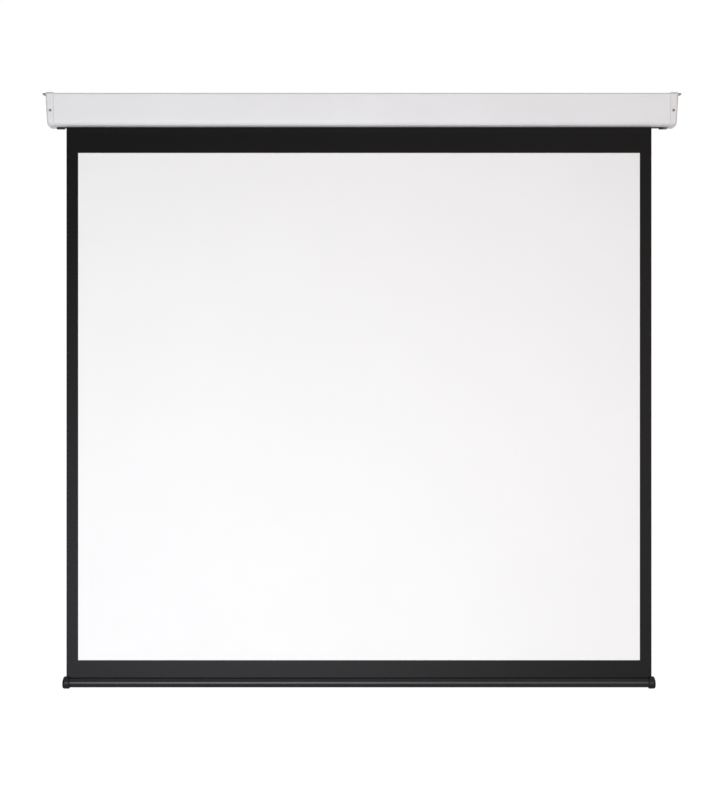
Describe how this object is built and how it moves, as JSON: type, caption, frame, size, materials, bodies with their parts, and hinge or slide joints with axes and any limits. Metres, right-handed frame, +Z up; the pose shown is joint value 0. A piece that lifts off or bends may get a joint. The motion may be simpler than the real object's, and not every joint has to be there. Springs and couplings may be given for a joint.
{
  "type": "motorized projection screen",
  "caption": "Motorized projection screen: a steel housing with moulded end caps and brackets, a black-bordered white sheet on a motor roller, and a round black weight bar.",
  "frame": {"origin": "middle of the housing's back face, at the height of the wall screws", "axes": "+X to the viewer's right along the housing, -Y out of the front towards the viewer, +Z up"},
  "size_m": [1.744, 0.0934, 1.6255],
  "materials": {
    "housing_steel": "satin powder coat",
    "cap_plastic": "fine satin moulding",
    "plated_steel": "zinc plated",
    "bare_steel": "bright",
    "black_screw": "black oxide",
    "black_rubber": "matt",
    "grey_plastic": "matt",
    "black_plastic": "matt",
    "green_plastic": "matt",
    "motor_black": "satin",
    "copper_winding": "varnished",
    "brass": "turned",
    "aluminium": "extruded",
    "sheet_black": "matt coated",
    "sheet_white": "matt coated",
    "bar_black": "black anodised",
    "bar_cap_plastic": "satin"
  },
  "bodies": {
    "housing": {"housing_shell": "housing_steel", "slot_trim_front": "black_plastic", "slot_trim_rear": "black_plastic", "slot_plug_left": "black_rubber", "slot_plug_right": "black_rubber", "slot_plug_grey": "grey_plastic", "end_plate_left": "plated_steel", "end_plate_right": "plated_steel", "end_cap_left": "cap_plastic", "end_cap_right": "cap_plastic", "cable_grommet": "black_rubber", "cap_screw_left": "black_screw", "cap_screw_right": "black_screw", "bracket_left": "plated_steel", "bracket_right": "plated_steel", "bracket_screw_left_rear": "bare_steel", "bracket_screw_right_rear": "bare_steel", "bracket_screw_left_front": "bare_steel", "bracket_screw_right_front": "bare_steel", "idler_bracket": "plated_steel", "idler_pin": "bare_steel", "motor_bracket": "plated_steel", "motor_retaining_pin": "bare_steel", "motor_head": "motor_black", "motor_lead": "black_rubber", "terminal_block": "green_plastic", "run_capacitor": "aluminium", "motor_stator": "copper_winding", "motor_brake": "motor_black", "gear_train": "bare_steel", "motor_rotor": "bare_steel", "ring_gear": "bare_steel", "motor_tube": "motor_black", "screen_sheet": "sheet_black", "viewing_area": "sheet_white"},
    "weight_bar": {"bar_tube": "bar_black", "hem_rod": "bare_steel", "ballast_rod": "bare_steel", "bar_cap_left": "bar_cap_plastic", "bar_cap_right": "bar_cap_plastic"},
    "roller": {"roller_tube": "aluminium", "wound_fabric": "sheet_black", "idler_plug": "black_plastic", "idler_bearing": "bare_steel", "limit_ring": "grey_plastic", "planet_carrier": "bare_steel", "drive_wheel": "grey_plastic"},
    "planet_1": {"planet_gear_1": "brass"},
    "planet_2": {"planet_gear_2": "brass"},
    "planet_3": {"planet_gear_3": "brass"},
    "sun": {"sun_shaft": "brass"},
    "limit_up": {"limit_screw_up": "brass"},
    "limit_down": {"limit_screw_down": "brass"}
  },
  "joints": [
    {"name": "screen_drop", "type": "slide", "parent": "housing", "child": "weight_bar", "axis": [0, 0, 1], "range_m": [0, 1.495], "deforming": ["screen_sheet", "viewing_area"]},
    {"name": "roller_spin", "type": "hinge", "parent": "housing", "child": "roller", "pos_m": [-0.008, -0.047, -0.013], "axis": [1, 0, 0], "range_deg": [0, 3011]},
    {"name": "planet_spin_1", "type": "hinge", "parent": "roller", "child": "planet_1", "pos_m": [0.4378, -0.0362, -0.013], "axis": [1, 0, 0], "range_deg": [-9033, 0]},
    {"name": "planet_spin_2", "type": "hinge", "parent": "roller", "child": "planet_2", "pos_m": [0.4378, -0.0524, -0.00365], "axis": [1, 0, 0], "range_deg": [-9033, 0]},
    {"name": "planet_spin_3", "type": "hinge", "parent": "roller", "child": "planet_3", "pos_m": [0.4378, -0.0524, -0.02235], "axis": [1, 0, 0], "range_deg": [-9033, 0]},
    {"name": "sun_spin", "type": "hinge", "parent": "housing", "child": "sun", "pos_m": [0.4378, -0.047, -0.013], "axis": [1, 0, 0], "range_deg": [0, 12043]},
    {"name": "limit_up_turn", "type": "hinge", "parent": "housing", "child": "limit_up", "pos_m": [0.80895, -0.047, -0.037], "axis": [0, 0, -1], "continuous": true},
    {"name": "limit_down_turn", "type": "hinge", "parent": "housing", "child": "limit_down", "pos_m": [0.82095, -0.047, -0.037], "axis": [0, 0, -1], "continuous": true}
  ],
  "couplings": [
    {"joint": "roller_spin", "follows": "screen_drop", "rad_per_m": 35.1},
    {"joint": "planet_spin_1", "follows": "screen_drop", "rad_per_m": -105.3},
    {"joint": "planet_spin_2", "follows": "screen_drop", "rad_per_m": -105.3},
    {"joint": "planet_spin_3", "follows": "screen_drop", "rad_per_m": -105.3},
    {"joint": "sun_spin", "follows": "screen_drop", "rad_per_m": 140.4}
  ]
}
